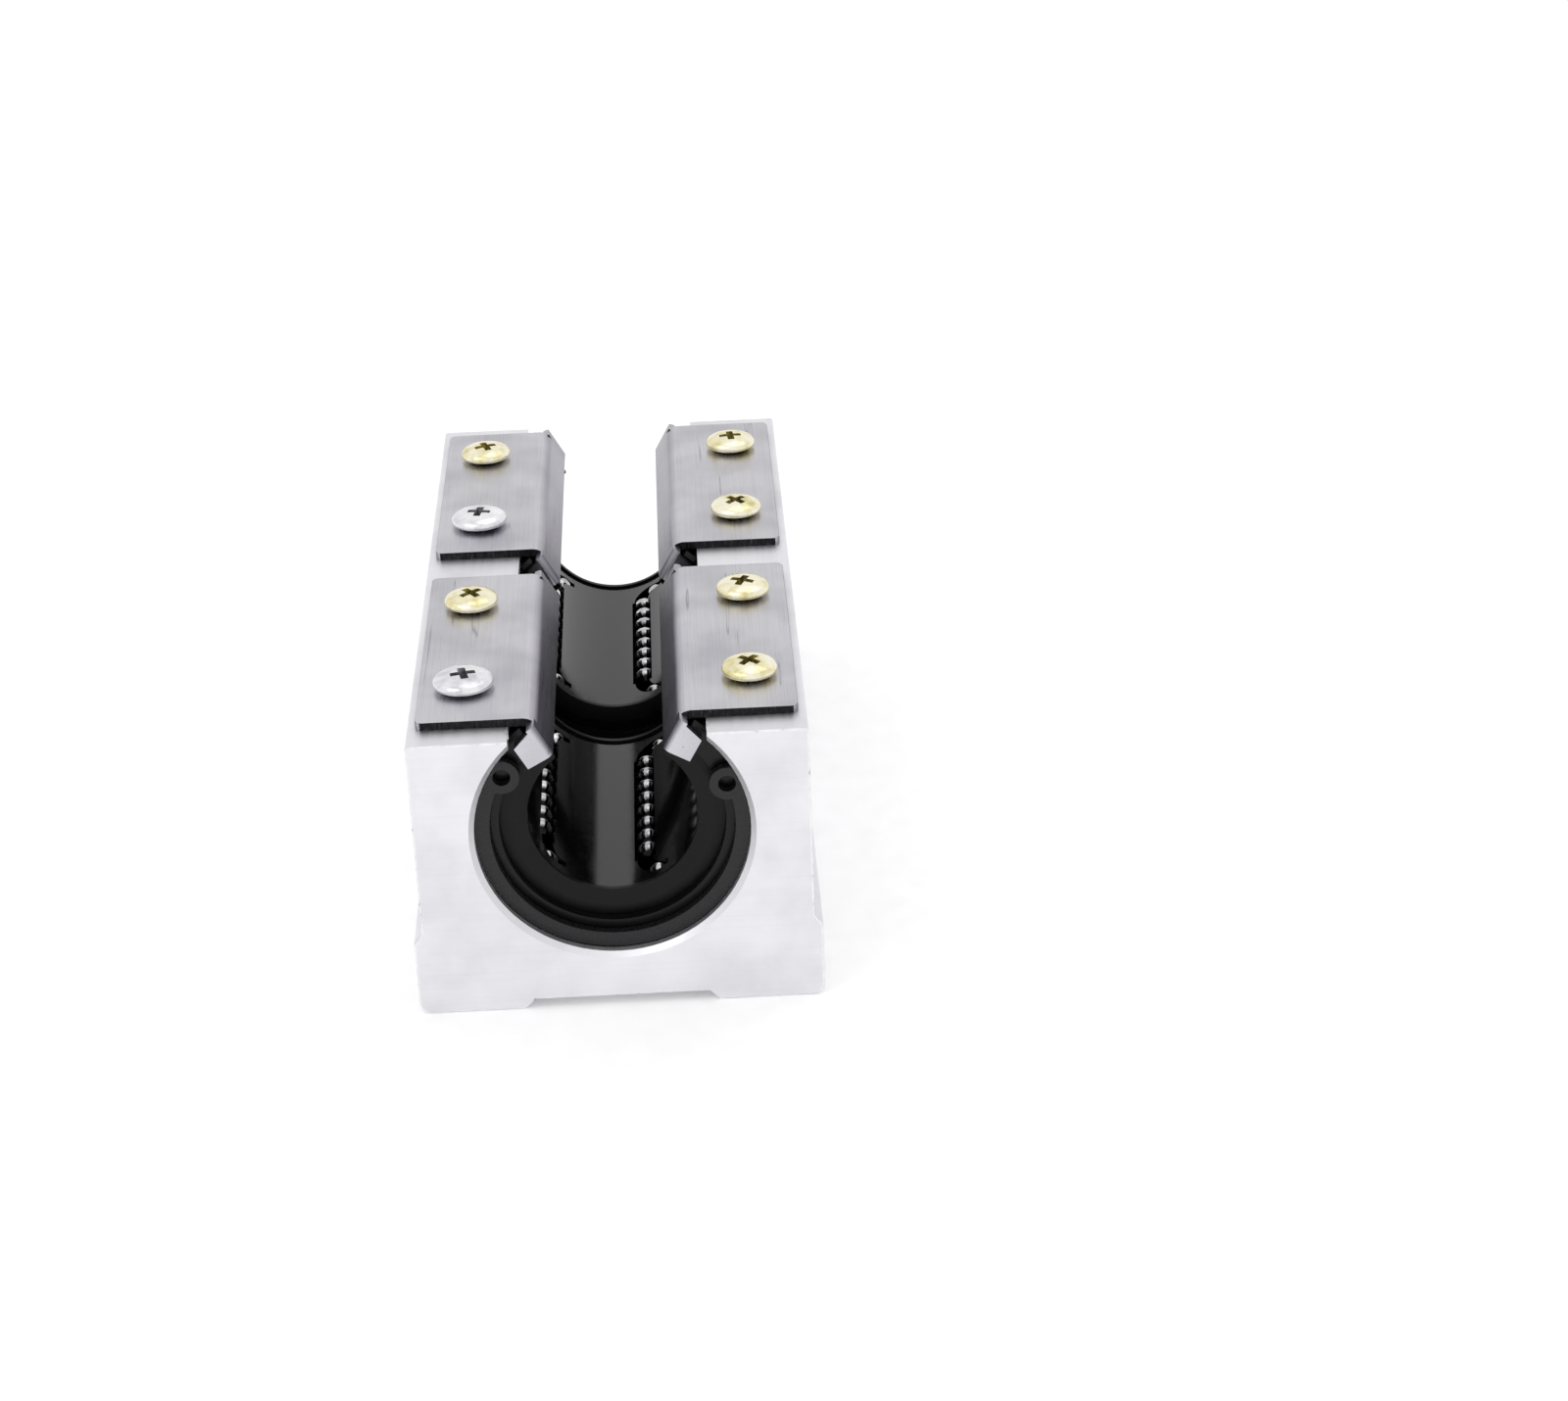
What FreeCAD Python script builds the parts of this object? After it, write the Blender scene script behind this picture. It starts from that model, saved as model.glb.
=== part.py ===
import FreeCAD, Part
import Sketcher
import math
import os

# Long open linear-bearing block for a 20 mm supported shaft. Millimetres.
# An extruded aluminium housing holds two open ball bushings end to end.
# Four bent steel plates, screwed to the two lips, hook over the bushings' ends,
# and a retaining ring closes the bore at each end of the block.
# Frame: +X across the block, +Y along the shaft, +Z up towards the slot.
# The origin is at the middle of the mounting face.

SIZES = {
    # housing extrusion
    "block_length": 96.0,
    "side_wall": 7.0,
    "floor_wall": 7.0,
    "lip_drop": 3.5,
    "foot_flare": 1.0,
    "body_width": "=2 * (bushing_radius + side_wall)",
    "base_width": "=body_width + 2 * foot_flare",
    "shaft_height": "=bushing_radius + floor_wall",
    "block_height": "=shaft_height + bushing_radius - lip_drop",
    "foot_height": 9.5,
    "foot_ledge": 1.5,
    "corner_round": 1.4,
    "edge_round": 0.4,
    "relief_width": 23.0,
    "relief_depth": 1.2,
    "relief_slope": 1.2,
    "slot_width": 21.6,
    "slot_draft": 1.2,
    "bore_chamfer": 0.6,
    # holes in the mounting face
    "mount_spacing_across": 35.0,
    "mount_spacing_along": 70.0,
    "mount_drill": 5.0,
    "mount_depth": 12.0,
    "mount_sink": 0.6,
    # shaft and bushing
    "shaft_radius": 10.0,
    "bushing_radius": 16.0,
    "bushing_length": 42.0,
    "bushing_inset": 3.1,
    "bushing_fit": 0.01,
    "sleeve_chamfer": 0.5,
    "open_angle": 77.6,
    # balls and their tracks
    "ball_diameter": 3.175,
    "ball_gap": 0.025,
    "ball_pitch": "=ball_diameter + ball_gap",
    "circuit_step": 72.0,
    "track_offset": 17.0,
    "raceway_half": 9.35,
    "return_rise": 0.86,
    "turn_rise": 0.71,
    "race_fit": 0.02,
    "channel_fit": 0.08,
    "turn_fit": 0.02,
    "relief_fit": 0.11,
    "pocket_overlap": 0.4,
    "cage_gap": 0.3,
    "cage_fit": 0.045,
    "cage_end_wall": 0.45,
    "turn_reach": "=(shaft_radius + ball_diameter) * sin(track_offset) + ball_diameter / 2",
    "end_room": "=seal_recess + seal_face + cage_end_wall + turn_reach",
    "ball_count": "=floor((bushing_length - 2 * end_room) / ball_pitch)",
    "turn_slot_depth": 0.3,
    "far_turn_pitches": 1.2,
    "slot_open_width": 2.7,
    "turn_slot_radius": 0.65,
    # end seals
    "seal_recess": 1.3,
    "seal_face": 1.0,
    "seal_rim_width": 1.2,
    "seal_lip": 0.6,
    "seal_fit": 0.03,
    # retaining rings
    "ring_inset": 1.7,
    "ring_thickness": 1.2,
    "ring_groove_width": 1.3,
    "ring_groove_depth": 1.0,
    "ring_radial_gap": 0.1,
    "ring_width": 2.7,
    "ring_open_angle": 130.0,
    "eyelet_radius": 2.1,
    "eyelet_hole_radius": 1.0,
    "eyelet_inset": 1.7,
    "front_ring_turn": 4.8,
    "rear_ring_turn": 0.0,
    # retaining plates
    "sheet": 1.0,
    "plate_end_inset": 0.9,
    "plate_length": "=bushing_length - 2 * plate_end_inset",
    "plate_edge_inset": 1.0,
    "plate_slot_gap": 2.32,
    "plate_bend_radius": 1.1,
    "plate_tip_lift": 1.48,
    "plate_tip_inset": 5.5,
    "plate_corner_round": 0.9,
    "ear_gap": 0.1,
    "ear_reach": 3.4,
    "ear_root": 4.2,
    "ear_tip": 3.0,
    "ear_notch": 0.4,
    "ear_bend_round": 0.9,
    # plate screws
    "screw_radius": 2.0,
    "screw_length": 6.0,
    "screw_spacing": 22.5,
    "screw_edge": 6.3,
    "screw_hole_fit": 0.25,
    "screw_thread_fit": 0.02,
    "screw_hole_extra": 1.0,
    "yellow_head_radius": 3.3,
    "silver_head_radius": 3.6,
    "screw_head_height": 1.9,
    "screw_head_round": 1.1,
    "cross_length": 4.0,
    "cross_width": 0.9,
    "cross_depth": 1.1,
}

BUSHINGS = ("front", "rear")
SIDES = {"left": -1, "right": 1}
CIRCUITS = (-1.5, -0.5, 0.5, 1.5)
# how far a cutting tool stands past the faces that it cuts through
PAST = 1.0

doc = FreeCAD.newDocument("open_bearing_block")
sheet = doc.addObject("Spreadsheet::Sheet", "Sizes")
for row, (alias, number) in enumerate(SIZES.items(), start=1):
    sheet.set("A%d" % row, alias)
    sheet.setAlias("B%d" % row, alias)
for row, (alias, number) in enumerate(SIZES.items(), start=1):
    sheet.set("B%d" % row, str(number))
doc.recompute()


class Size:
    """A length or an angle: its number, and its formula in the sheet's cells."""

    def __init__(self, value, text):
        self.value = value
        self.text = text

    def __add__(self, other):
        other = as_size(other)
        return Size(self.value + other.value, "(%s + %s)" % (self.text, other.text))

    def __sub__(self, other):
        other = as_size(other)
        return Size(self.value - other.value, "(%s - %s)" % (self.text, other.text))

    def __mul__(self, other):
        other = as_size(other)
        return Size(self.value * other.value, "(%s * %s)" % (self.text, other.text))

    def __truediv__(self, other):
        other = as_size(other)
        return Size(self.value / other.value, "(%s / %s)" % (self.text, other.text))

    def __neg__(self):
        return self * -1


def as_size(number):
    return number if isinstance(number, Size) else Size(float(number), "(%s)" % float(number))


def cell(alias):
    return Size(float(sheet.get(alias)), "Sizes.%s" % alias)


def sin(angle):
    return Size(math.sin(math.radians(angle.value)), "sin(%s)" % angle.text)


def cos(angle):
    return Size(math.cos(math.radians(angle.value)), "cos(%s)" % angle.text)


def slope(across, up):
    """The angle from straight up of a line that goes this far across and up."""
    angle = math.degrees(math.atan2(across.value, up.value))
    return Size(angle, "(atan(%s / %s) / 1deg)" % (across.text, up.text))


def bind(thing, name, size):
    """Ties one property of an object to the sheet."""
    thing.setExpression(name, as_size(size).text)


def place(thing, x, y, z, turn=None):
    """Sets an object's Placement: its turn as a rotation, its place tied to the sheet."""
    places = [as_size(number) for number in (x, y, z)]
    turn = turn or FreeCAD.Rotation()
    thing.Placement = FreeCAD.Placement(FreeCAD.Vector(*[size.value for size in places]), turn)
    for axis, size in zip("xyz", places):
        bind(thing, "Placement.Base.%s" % axis, size)


# ---------------------------------------------------------------- sketch and feature helpers

def new_body(label):
    body = doc.addObject("PartDesign::Body", label)
    body.Label = label
    return body


def new_sketch(body, role, name, offset=None):
    """A sketch on one of the body's own origin planes, moved along the plane's normal."""
    plane = [feature for feature in body.Origin.OriginFeatures if feature.Role == role][0]
    sketch = body.newObject("Sketcher::SketchObject", "%s_%s" % (body.Name, name))
    sketch.AttachmentSupport = [(plane, "")]
    sketch.MapMode = "FlatFace"
    if offset is not None:
        sketch.AttachmentOffset = FreeCAD.Placement(
            FreeCAD.Vector(0, 0, offset.value), FreeCAD.Rotation())
        bind(sketch, "AttachmentOffset.Base.z", offset)
    return sketch


def pin(sketch, geometry, point, x, y):
    """Ties a sketch point to the sketch's origin by its two coordinates."""
    for kind, size in (("DistanceX", x), ("DistanceY", y)):
        size = as_size(size)
        if abs(size.value) < 1e-9:
            align = "Vertical" if kind == "DistanceX" else "Horizontal"
            sketch.addConstraint(Sketcher.Constraint(align, -1, 1, geometry, point))
            continue
        ends = (-1, 1, geometry, point) if size.value > 0 else (geometry, point, -1, 1)
        size = size if size.value > 0 else -size
        number = sketch.addConstraint(Sketcher.Constraint(kind, *ends, size.value))
        bind(sketch, "Constraints[%d]" % number, size)


def draw_polygon(sketch, corners):
    """A closed outline of straight lines through the corners."""
    corners = [(as_size(x), as_size(y)) for x, y in corners]
    points = [FreeCAD.Vector(x.value, y.value, 0) for x, y in corners]
    first = sketch.GeometryCount
    for number, start in enumerate(points):
        sketch.addGeometry(Part.LineSegment(start, points[(number + 1) % len(points)]), False)
    for number, (x, y) in enumerate(corners):
        following = first + (number + 1) % len(points)
        sketch.addConstraint(Sketcher.Constraint("Coincident", first + number, 2, following, 1))
        pin(sketch, first + number, 1, x, y)


def draw_circle(sketch, x, y, radius):
    x, y = as_size(x), as_size(y)
    centre = FreeCAD.Vector(x.value, y.value, 0)
    circle = Part.Circle(centre, FreeCAD.Vector(0, 0, 1), radius.value)
    number = sketch.addGeometry(circle, False)
    datum = sketch.addConstraint(Sketcher.Constraint("Radius", number, radius.value))
    bind(sketch, "Constraints[%d]" % datum, radius)
    pin(sketch, number, 3, x, y)


def extrude(body, sketch, kind, length, both_ways=True):
    """Pads or pockets a sketch, equally to both sides of its plane unless told otherwise."""
    feature = body.newObject("PartDesign::" + kind, "%s_%s" % (sketch.Name, kind.lower()))
    feature.Profile = sketch
    feature.Midplane = both_ways
    bind(feature, "Length", length)
    doc.recompute()
    return feature


def revolve(body, sketch, angle):
    """Revolves a sketch about its own horizontal axis, equally to both sides."""
    feature = body.newObject("PartDesign::Revolution", sketch.Name + "_turned")
    feature.Profile = sketch
    feature.ReferenceAxis = (sketch, ["H_Axis"])
    feature.Midplane = True
    bind(feature, "Angle", angle)
    doc.recompute()
    return feature


def soften(body, base, kind, size, wanted):
    """Fillets or chamfers those edges of the base feature that the test picks out."""
    edges = ["Edge%d" % number for number, edge in enumerate(base.Shape.Edges, start=1)
             if wanted(edge)]
    if not edges:
        raise RuntimeError("no edge to soften on " + base.Name)
    feature = body.newObject("PartDesign::" + kind, "%s_%s" % (base.Name, kind.lower()))
    feature.Base = (base, edges)
    bind(feature, "Radius" if kind == "Fillet" else "Size", size)
    doc.recompute()
    return feature


def runs_through(edge, x=None, y=None, z=None, slack=0.01):
    """True for an edge all of whose ends and middle lie at the given coordinates."""
    middle = edge.valueAt((edge.FirstParameter + edge.LastParameter) / 2)
    points = [vertex.Point for vertex in edge.Vertexes] + [middle]
    for axis, wanted in enumerate((x, y, z)):
        if wanted is None:
            continue
        wanted = wanted.value if isinstance(wanted, Size) else wanted
        if any(abs(point[axis] - wanted) > slack for point in points):
            return False
    return True


def along_y(edge):
    start, end = edge.Vertexes[0].Point, edge.Vertexes[-1].Point
    return abs(start.x - end.x) < 1e-6 and abs(start.z - end.z) < 1e-6


def primitive(kind, name, **sizes):
    """A Part primitive with its sizes tied to the sheet."""
    solid = doc.addObject("Part::" + kind, name)
    for key, size in sizes.items():
        bind(solid, key, size)
    return solid


def joined(name, solids):
    fuse = doc.addObject("Part::MultiFuse", name)
    fuse.Shapes = solids
    return fuse


def grouped(name, solids):
    group = doc.addObject("Part::Compound", name)
    group.Links = solids
    return group


def cut_from(name, base, tool):
    cut = doc.addObject("Part::Cut", name)
    cut.Base = base
    cut.Tool = tool
    return cut


AXIS_X = FreeCAD.Vector(1, 0, 0)
AXIS_Y = FreeCAD.Vector(0, 1, 0)
AXIS_Z = FreeCAD.Vector(0, 0, 1)
# a primitive's own axis, +Z, laid along +Y
LAID = FreeCAD.Rotation(AXIS_X, -90)

# ---------------------------------------------------------------- sizes worked out from the sheet

half_length = cell("block_length") / 2
half_base = cell("base_width") / 2
half_body = cell("body_width") / 2
shaft_z = cell("shaft_height")
top_z = cell("block_height")
bore_radius = cell("bushing_radius")
half_bushing = cell("bushing_length") / 2
bushing_y = {
    "front": -(half_length - cell("bushing_inset") - half_bushing),
    "rear": half_length - cell("bushing_inset") - half_bushing,
}
closed_angle = as_size(360) - cell("open_angle")

ball_radius = cell("ball_diameter") / 2
load_radius = cell("shaft_radius") + ball_radius
return_radius = load_radius + cell("return_rise")
turn_radius = load_radius + cell("turn_rise")
race_radius = cell("shaft_radius") + cell("ball_diameter") + cell("race_fit")
channel_radius = ball_radius + cell("channel_fit")
relief_radius = return_radius + ball_radius + cell("relief_fit")
# half the straight run, which the row of balls fills from end to end
straight_half = cell("ball_pitch") * cell("ball_count") / 2

end_y = {"front": -1, "rear": 1}


# ---------------------------------------------------------------- housing

def make_housing():
    body = new_body("housing")
    relief_half = cell("relief_width") / 2
    relief_top = relief_half - cell("relief_slope")
    ledge_z = cell("foot_height") + cell("foot_ledge")
    right = [
        (half_base, 0), (half_base, cell("foot_height")), (half_body, ledge_z), (half_body, top_z),
    ]
    left = [(-x, z) for x, z in reversed(right)]
    relief = [(-relief_half, 0), (-relief_top, cell("relief_depth")),
              (relief_top, cell("relief_depth")), (relief_half, 0)]
    outline = new_sketch(body, "XZ_Plane", "outline")
    draw_polygon(outline, right + left + relief)
    block = extrude(body, outline, "Pad", cell("block_length"))
    rounded = soften(body, block, "Fillet", cell("corner_round"),
                     lambda edge: along_y(edge) and (runs_through(edge, x=half_base, z=0)
                                                     or runs_through(edge, x=-half_base, z=0)))
    rounded = soften(body, rounded, "Fillet", cell("edge_round"),
                     lambda edge: along_y(edge) and runs_through(edge, z=top_z))

    bore = new_sketch(body, "XZ_Plane", "bore")
    draw_circle(bore, 0, shaft_z, bore_radius)
    extrude(body, bore, "Pocket", cell("block_length") + PAST * 2)

    slot_half = cell("slot_width") / 2
    slot_top = slot_half + cell("slot_draft") / 2
    slot = new_sketch(body, "XZ_Plane", "slot")
    draw_polygon(slot, [(-slot_half, shaft_z), (slot_half, shaft_z),
                        (slot_top, top_z + PAST), (-slot_top, top_z + PAST)])
    opened = extrude(body, slot, "Pocket", cell("block_length") + PAST * 2)
    soften(body, opened, "Chamfer", cell("bore_chamfer"),
           lambda edge: hasattr(edge.Curve, "Radius")
           and abs(edge.Curve.Radius - bore_radius.value) < 1e-6
           and (runs_through(edge, y=half_length) or runs_through(edge, y=-half_length)))

    groove_y = half_length - cell("ring_inset") - cell("ring_groove_width") / 2
    for end, sign in end_y.items():
        groove = new_sketch(body, "XZ_Plane", end + "_groove", groove_y * -sign)
        draw_circle(groove, 0, shaft_z, bore_radius + cell("ring_groove_depth"))
        extrude(body, groove, "Pocket", cell("ring_groove_width"))

    mount_x = cell("mount_spacing_across") / 2
    mount_y = cell("mount_spacing_along") / 2
    mounts = new_sketch(body, "XY_Plane", "mount_holes")
    for x in (-mount_x, mount_x):
        for y in (-mount_y, mount_y):
            draw_circle(mounts, x, y, cell("mount_drill") / 2)
    drilled = extrude(body, mounts, "Pocket", cell("mount_depth") * 2)
    soften(body, drilled, "Chamfer", cell("mount_sink"),
           lambda edge: hasattr(edge.Curve, "Radius")
           and abs(edge.Curve.Radius - cell("mount_drill").value / 2) < 1e-6
           and runs_through(edge, z=0))

    screws = new_sketch(body, "XY_Plane", "screw_holes", top_z)
    for x, y in screw_places():
        draw_circle(screws, x, y, cell("screw_radius") + cell("screw_thread_fit"))
    hole_depth = cell("screw_length") - cell("sheet") + cell("screw_hole_extra")
    extrude(body, screws, "Pocket", hole_depth * 2)
    return body


def screw_places():
    """The x and y of the eight plate screws."""
    x = half_body - cell("screw_edge")
    half_step = cell("screw_spacing") / 2
    return [(x * side, bushing_y[bushing] + half_step * step)
            for bushing in BUSHINGS for side in SIDES.values() for step in (-1, 1)]


# ---------------------------------------------------------------- bushings

def radial(angle, radius):
    """The x and z of a point round the shaft's axis; the angle is from straight down."""
    return radius * sin(angle), -(radius * cos(angle))


def about_shaft(degrees):
    """The turn that carries straight down to the given angle, towards +X."""
    return FreeCAD.Rotation(AXIS_Y, -degrees)


def sector(name, radius, length, start, stop):
    """A solid sector of a cylinder along Y, centred at y = 0, between two angles."""
    solid = primitive("Cylinder", name, Radius=radius, Height=length, Angle=stop - start)
    # laid along +Y the sector starts at +X and grows towards -Z, so towards smaller angles
    turn = about_shaft(stop.value - 90) * LAID
    place(solid, 0, -(length / 2), 0, turn)
    return solid


def circuit_angles(step):
    """Angles of a circuit's loaded track and of its return track."""
    middle = cell("circuit_step") * step
    return middle - cell("track_offset"), middle + cell("track_offset")


def quarter_turn(name, start, middle, tube, end):
    """A quarter of a ring that leads a channel from one track half-way to the other."""
    across = FreeCAD.Vector(middle[0].value - start[0].value, 0, middle[1].value - start[1].value)
    radius = across.Length
    ring = primitive("Torus", name, Radius2=tube)
    ring.Radius1 = radius
    ring.Angle3 = 90
    # the ring's own x runs back to the start, its own y along the shaft
    back = across * -1
    back.normalize()
    outward = FreeCAD.Vector(0, end, 0)
    turn = FreeCAD.Rotation(back, outward, back.cross(outward), "XYZ")
    centre_y = straight_half.value * end
    ring.Placement = FreeCAD.Placement(
        FreeCAD.Vector(middle[0].value, centre_y, middle[1].value), turn)
    return ring


def turn_points(step):
    """Where a circuit's channel starts, turns and returns, as x and z of its centre line."""
    load_angle, return_angle = circuit_angles(step)
    start = radial(load_angle, load_radius)
    finish = radial(return_angle, return_radius)
    offset = cell("track_offset")
    # in the circuit's own frame: sideways, and out along the radius
    load_side, load_out = -(load_radius * sin(offset)), load_radius * cos(offset)
    back_side, back_out = return_radius * sin(offset), return_radius * cos(offset)
    # the middle lies as far from one track as from the other
    load_drop = turn_radius - load_out
    back_drop = turn_radius - back_out
    side = ((back_side * back_side + back_drop * back_drop)
            - (load_side * load_side + load_drop * load_drop)) / ((back_side - load_side) * 2)
    middle_angle = cell("circuit_step") * step
    along, out = side, turn_radius
    x = along * cos(middle_angle) + out * sin(middle_angle)
    z = along * sin(middle_angle) - out * cos(middle_angle)
    return start, (x, z), finish


def channel_tools(step, name):
    """The closed channel of one ball circuit, and its opening on to the shaft."""
    load_angle = circuit_angles(step)[0]
    start, middle, finish = turn_points(step)
    # the turns are a hair wider than the runs that they join
    turn_tube = channel_radius + cell("turn_fit")
    tools = []
    for track, (x, z) in (("load", start), ("return", finish)):
        run = primitive("Cylinder", "%s_%s_run" % (name, track), Radius=channel_radius,
                        Height=straight_half * 2)
        place(run, x, -straight_half, z, LAID)
        tools.append(run)
    opening_depth = load_radius - cell("shaft_radius") + PAST
    opening = primitive("Box", name + "_opening", Length=cell("slot_open_width"),
                        Width=straight_half * 2, Height=opening_depth)
    opening_turn = about_shaft(load_angle.value)
    corner = opening_turn.multVec(FreeCAD.Vector(
        -cell("slot_open_width").value / 2, -straight_half.value, -load_radius.value))
    opening.Placement = FreeCAD.Placement(corner, opening_turn)
    tools.append(opening)
    skin_radius = cell("shaft_radius") + cell("cage_gap") + cell("turn_slot_depth")
    skin_start = radial(load_angle, skin_radius)
    skin_middle = radial(cell("circuit_step") * step, skin_radius)
    for end_name, end in end_y.items():
        tag = "%s_%s" % (name, end_name)
        tools.append(quarter_turn(tag + "_load_turn", start, middle, turn_tube, end))
        tools.append(quarter_turn(tag + "_return_turn", finish, middle, turn_tube, end))
        tools.append(quarter_turn(tag + "_turn_slot", skin_start, skin_middle,
                                  cell("turn_slot_radius"), end))
    return tools


def turn_size():
    """The bend radius of the turns' centre line."""
    start, middle = turn_points(0)[:2]
    return math.hypot(middle[0].value - start[0].value, middle[1].value - start[1].value)


def ring_profile_body(label, corners, angle):
    """A body turned about the shaft's axis from (y, radius) corners, open at the top."""
    body = new_body(label)
    sketch = new_sketch(body, "YZ_Plane", "section")
    draw_polygon(sketch, [(y, -as_size(radius)) for y, radius in corners])
    revolve(body, sketch, angle)
    return body


def make_sleeves():
    """Hardened outer sleeves: raceway lands inside, relieved over the return tracks."""
    outer = bore_radius - cell("bushing_fit")
    chamfer = cell("sleeve_chamfer")
    blank = ring_profile_body("sleeve_blank", [
        (-half_bushing, race_radius), (half_bushing, race_radius),
        (half_bushing, outer - chamfer), (half_bushing - chamfer, outer),
        (-(half_bushing - chamfer), outer), (-half_bushing, outer - chamfer)], closed_angle)
    turn_reach = straight_half + turn_size() + channel_radius + cell("turn_fit")
    land_half = cell("raceway_half")
    tools = []
    for number, step in enumerate(CIRCUITS, start=1):
        load_angle, return_angle = circuit_angles(step)
        name = "sleeve_relief_%d" % number
        tools.append(sector(name, relief_radius, turn_reach * 2,
                            load_angle + land_half, return_angle + land_half))
        for end_name, end in end_y.items():
            pocket_length = turn_reach - straight_half - cell("pocket_overlap")
            pocket = sector("%s_%s" % (name, end_name), relief_radius, pocket_length,
                            load_angle - land_half, load_angle + land_half)
            pocket_y = (turn_reach - pocket_length / 2) * end
            pocket.Placement.Base = FreeCAD.Vector(
                0, (pocket_y - pocket_length / 2).value, 0)
            bind(pocket, "Placement.Base.y", pocket_y - pocket_length / 2)
            tools.append(pocket)
    relief = joined("sleeve_reliefs", tools)
    sleeves = []
    for bushing in BUSHINGS:
        sleeve = cut_from(bushing + "_sleeve", blank, relief)
        place(sleeve, 0, bushing_y[bushing], shaft_z)
        sleeves.append(sleeve)
    return sleeves


def cage_half_length():
    return half_bushing - cell("seal_recess") - cell("seal_face")


def make_cages():
    """Moulded ball cages with their closed channels."""
    half = cage_half_length()
    inner = cell("shaft_radius") + cell("cage_gap")
    outer = race_radius - cell("cage_fit")
    blank = ring_profile_body("cage_blank", [
        (-half, inner), (half, inner), (half, outer), (-half, outer)], closed_angle)
    tools = []
    for number, step in enumerate(CIRCUITS, start=1):
        tools += channel_tools(step, "channel_%d" % number)
    channels = joined("cage_channels", tools)
    cages = []
    for bushing in BUSHINGS:
        cage = cut_from(bushing + "_cage", blank, channels)
        place(cage, 0, bushing_y[bushing], shaft_z)
        cages.append(cage)
    return cages


def make_seals():
    """Rubber end seals: a flat rim in the sleeve and a lip that wipes the shaft."""
    rim = race_radius - cell("seal_fit")
    rim_inner = race_radius - cell("seal_rim_width")
    lip_radius = cell("shaft_radius")
    back = cell("seal_face")
    lip_front = back - cell("seal_lip")
    seals = []
    for bushing in BUSHINGS:
        for where, sign in (("outer", 1), ("inner", -1)):
            seal = ring_profile_body("%s_%s_seal" % (bushing, where), [
                (0, rim), (0, rim_inner), (lip_front, lip_radius), (back, lip_radius),
                (back, rim)], closed_angle)
            # the profile's +Y points into the bushing from its front end
            into = -end_y[bushing] * sign
            turn = FreeCAD.Rotation() if into > 0 else FreeCAD.Rotation(AXIS_Z, 180)
            seal_y = bushing_y[bushing] - (half_bushing - cell("seal_recess")) * into
            place(seal, 0, seal_y, shaft_z, turn)
            seals.append(seal)
    return seals


# ---------------------------------------------------------------- balls

def ball_group(label, places, bushing):
    """One node of separate balls at the given x, y and z in the bushing's own frame."""
    balls = []
    for number, (x, y, z) in enumerate(places, start=1):
        ball = primitive("Sphere", "%s_ball_%d" % (label, number), Radius=ball_radius)
        place(ball, x, y, z)
        balls.append(ball)
    group = grouped(label, balls)
    place(group, 0, bushing_y[bushing], shaft_z)
    return group


def row_places(track, x, z):
    """Ball centres of a straight row at rest: a loaded row ends at the rear of its run."""
    count = round(cell("ball_count").value)
    first = -straight_half if track == "return" else -straight_half + cell("ball_pitch")
    return [(x, first + cell("ball_pitch") * number, z) for number in range(count)]


def turn_places(step):
    """Ball centres in the two turns of a circuit, a ball pitch or more from the runs' ends."""
    start, middle, finish = turn_points(step)
    radius = turn_size()
    places = []
    for end_name, end in end_y.items():
        for near in (start, finish):
            # the balls that the row has just drawn along leave a wider gap behind them
            drawn = end_name == "rear" and near is start
            pitches = cell("far_turn_pitches").value if drawn else 1
            # the turn whose chord is this many ball pitches
            swing = 2 * math.asin(pitches * cell("ball_pitch").value / (2 * radius))
            aside = (middle[0].value - near[0].value, middle[1].value - near[1].value)
            share = 1 - math.cos(swing)
            x = near[0].value + aside[0] * share
            z = near[1].value + aside[1] * share
            y = end * (straight_half.value + radius * math.sin(swing))
            places.append((x, y, z))
    return places


def make_balls():
    groups = []
    for bushing in BUSHINGS:
        turning = []
        for number, step in enumerate(CIRCUITS, start=1):
            start, middle, finish = turn_points(step)
            for track, (x, z) in (("load", start), ("return", finish)):
                label = "%s_%s_balls_%d" % (bushing, track, number)
                groups.append(ball_group(label, row_places(track, x, z), bushing))
            turning += turn_places(step)
        groups.append(ball_group(bushing + "_turn_balls", turning, bushing))
    return groups


# ---------------------------------------------------------------- retaining rings

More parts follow.
